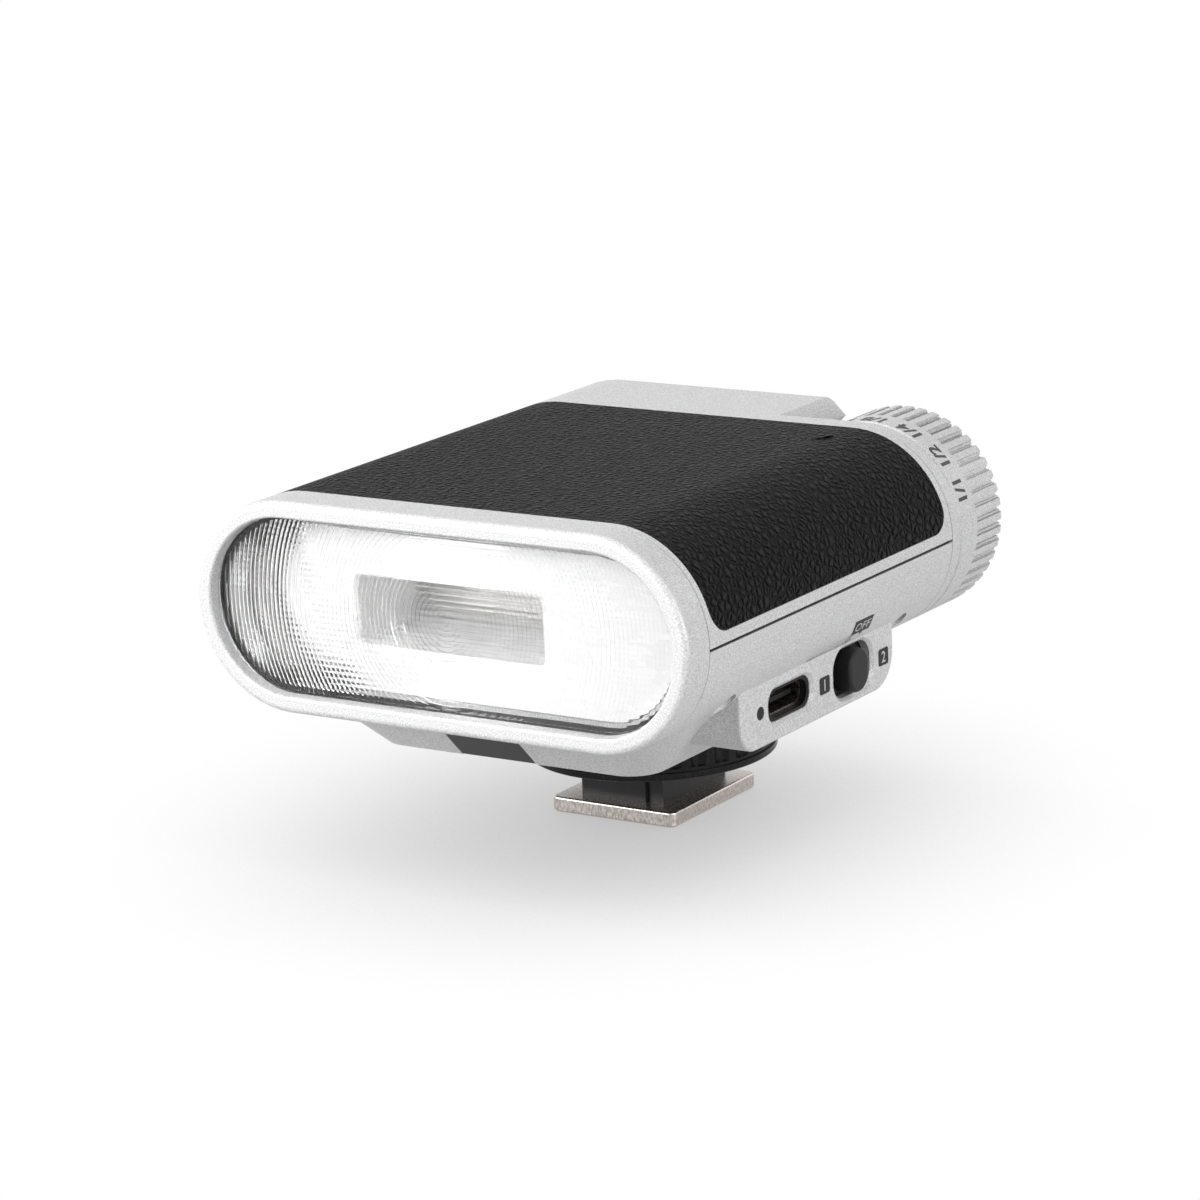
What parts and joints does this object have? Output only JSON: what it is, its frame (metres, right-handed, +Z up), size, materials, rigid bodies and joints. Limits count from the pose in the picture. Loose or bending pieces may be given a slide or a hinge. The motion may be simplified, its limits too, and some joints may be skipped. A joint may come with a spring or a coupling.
{
  "type": "speedlight flash",
  "caption": "Compact shoe-mounted flash with a rounded oval body, leather wrap, fluted power dial, sloped base with control pod, lock wheel and hot-shoe foot.",
  "frame": {"origin": "centre of the foot plate's sole", "axes": "+Z up, -Y the way the light faces, +X towards the side with the socket and the switch"},
  "size_m": [0.0714, 0.0786, 0.0477],
  "materials": {
    "silver_paint": "satin",
    "clear_lens": "gloss",
    "black_foam": "matte",
    "leather": "matte",
    "dark_window": "gloss",
    "silver_metal": "satin",
    "steel": "satin",
    "board_part": "satin",
    "button_plastic": "satin",
    "circuit_board": "satin",
    "black_plastic": "satin",
    "socket_metal": "satin",
    "socket_plastic": "matte",
    "gold_pad": "gloss",
    "lamp_plastic": "gloss",
    "wheel_plastic": "satin",
    "foot_nickel": "satin",
    "contact_metal": "gloss",
    "reflector_metal": "polished",
    "tube_glass": "gloss",
    "sleeve_rubber": "matte",
    "coil": "satin",
    "capacitor_sleeve": "satin",
    "cell_sleeve": "satin"
  },
  "bodies": {
    "housing": {"battery_cell": "cell_sleeve", "board_screws": "steel", "button_board": "circuit_board", "button_screws": "steel", "capacitor": "capacitor_sleeve", "cell_saddle": "black_plastic", "charge_lamp": "lamp_plastic", "charge_transformer": "coil", "contact_insulator": "black_plastic", "contact_spring": "steel", "encoder": "board_part", "flash_transistor": "board_part", "foot_block": "wheel_plastic", "foot_plate": "foot_nickel", "foot_screws": "steel", "fresnel_lens": "clear_lens", "front_frame": "silver_paint", "io_board": "circuit_board", "leather_wrap": "leather", "lens_gasket": "black_foam", "lower_shell": "silver_paint", "main_board": "circuit_board", "mode_switch": "board_part", "mount_plate": "steel", "mount_screws": "steel", "pod_liner": "black_plastic", "rear_housing": "silver_paint", "receiver_diode": "dark_window", "reflector": "reflector_metal", "sensor_window": "dark_window", "shell_screws": "steel", "stem_nut": "steel", "top_shell": "silver_paint", "trigger_coil": "coil", "tube_pins": "steel", "tube_sleeves": "sleeve_rubber", "usb_pads": "gold_pad", "usb_shell": "socket_metal", "usb_tongue": "socket_plastic", "xenon_tube": "tube_glass"},
    "dial": {"power_dial": "silver_metal", "dial_cap": "silver_metal", "dial_shaft": "steel"},
    "button": {"test_button": "button_plastic"},
    "slider": {"mode_knob": "black_plastic"},
    "washer": {"clamp_washer": "wheel_plastic"},
    "wheel": {"lock_wheel": "wheel_plastic"},
    "contact": {"centre_contact": "contact_metal"}
  },
  "joints": [
    {"name": "dial_turn", "type": "hinge", "parent": "housing", "child": "dial", "pos_m": [0.0223, 0.025, 0.03435], "axis": [0, -1, 0], "range_deg": [-67.5, 67.5]},
    {"name": "button_press", "type": "slide", "parent": "housing", "child": "button", "axis": [0, -1, 0], "range_m": [0, 0.0005], "stiffness_N_per_m": 600},
    {"name": "mode_slide", "type": "slide", "parent": "housing", "child": "slider", "axis": [0, 1, 0], "range_m": [-0.00215, 0.00215]},
    {"name": "washer_slide", "type": "slide", "parent": "housing", "child": "washer", "axis": [0, 0, -1], "range_m": [0, 0.0028]},
    {"name": "wheel_turn", "type": "hinge", "parent": "washer", "child": "wheel", "pos_m": [0, 0, 0.01], "axis": [0, 0, -1], "range_deg": [0, 671.5]},
    {"name": "contact_press", "type": "slide", "parent": "housing", "child": "contact", "axis": [0, 0, 1], "range_m": [0, 0.0006], "stiffness_N_per_m": 300, "deforming": ["contact_spring"]}
  ],
  "couplings": [
    {"joint": "washer_slide", "follows": "wheel_turn", "m_per_rad": 0.00023873}
  ]
}
